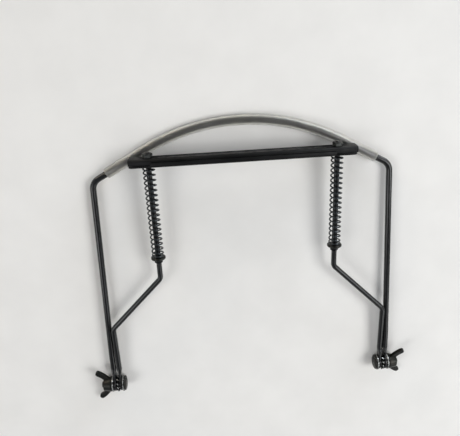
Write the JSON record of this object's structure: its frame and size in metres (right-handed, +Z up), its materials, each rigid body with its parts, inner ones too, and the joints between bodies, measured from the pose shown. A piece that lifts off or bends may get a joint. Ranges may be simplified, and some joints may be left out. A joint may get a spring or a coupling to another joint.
{
  "type": "harmonica holder",
  "caption": "Folding neck holder for a harmonica: bent rod yoke with a clear sleeve, sprung clamp jaws on two arms, and wing nut pivots that set the angle",
  "frame": {"origin": "Middle of the folded holder's bounding box, on the surface that it lies on.", "axes": "+X from the left pivot to the right pivot along the hinge line, +Y from the pivots to the arch that goes round the neck, +Z up from the surface that the folded holder lies on."},
  "size_m": [0.2224, 0.1988, 0.0196],
  "materials": {
    "rod_paint": "glossy black paint on steel rod",
    "jaw_paint": "satin black paint on pressed steel",
    "spring_steel": "blackened spring wire",
    "black_fastener": "black zinc plated steel",
    "clear_vinyl": "clear soft vinyl tube"
  },
  "bodies": {
    "yoke": {"yoke_rod": "rod_paint", "neck_sleeve": "clear_vinyl", "nut_washer_left": "black_fastener", "nut_washer_right": "black_fastener"},
    "cradle": {"cradle_arm_left": "rod_paint", "cradle_arm_right": "rod_paint", "fixed_jaw": "jaw_paint", "jaw_nut_left": "black_fastener", "jaw_nut_right": "black_fastener", "spring_seat_left": "black_fastener", "spring_seat_right": "black_fastener", "spring_left": "spring_steel", "spring_right": "spring_steel", "pivot_bolt_left": "black_fastener", "pivot_bolt_right": "black_fastener", "head_washer_left": "black_fastener", "head_washer_right": "black_fastener", "toothed_washer_left": "black_fastener", "toothed_washer_right": "black_fastener"},
    "sliding_jaw": {"sliding_jaw": "jaw_paint"},
    "wing_nut_left": {"wing_nut_left": "black_fastener"},
    "wing_nut_right": {"wing_nut_right": "black_fastener"}
  },
  "joints": [
    {"name": "cradle_fold", "type": "hinge", "parent": "yoke", "child": "cradle", "pos_m": [0, -0.08665, 0.0057], "axis": [1, 0, 0], "range_deg": [0, 176.6]},
    {"name": "jaw_slide", "type": "slide", "parent": "cradle", "child": "sliding_jaw", "axis": [0, -0.999, -0.0453], "range_m": [0, 0.028], "stiffness_N_per_m": 3400, "springref_m": -0.004, "deforming": ["spring_left", "spring_right"]},
    {"name": "wing_turn_left", "type": "hinge", "parent": "cradle", "child": "wing_nut_left", "pos_m": [-0.1008, -0.08665, 0.0057], "axis": [-1, 0, 0], "range_deg": [0, 360]},
    {"name": "wing_turn_right", "type": "hinge", "parent": "cradle", "child": "wing_nut_right", "pos_m": [0.1008, -0.08665, 0.0057], "axis": [1, 0, 0], "range_deg": [0, 360]}
  ]
}
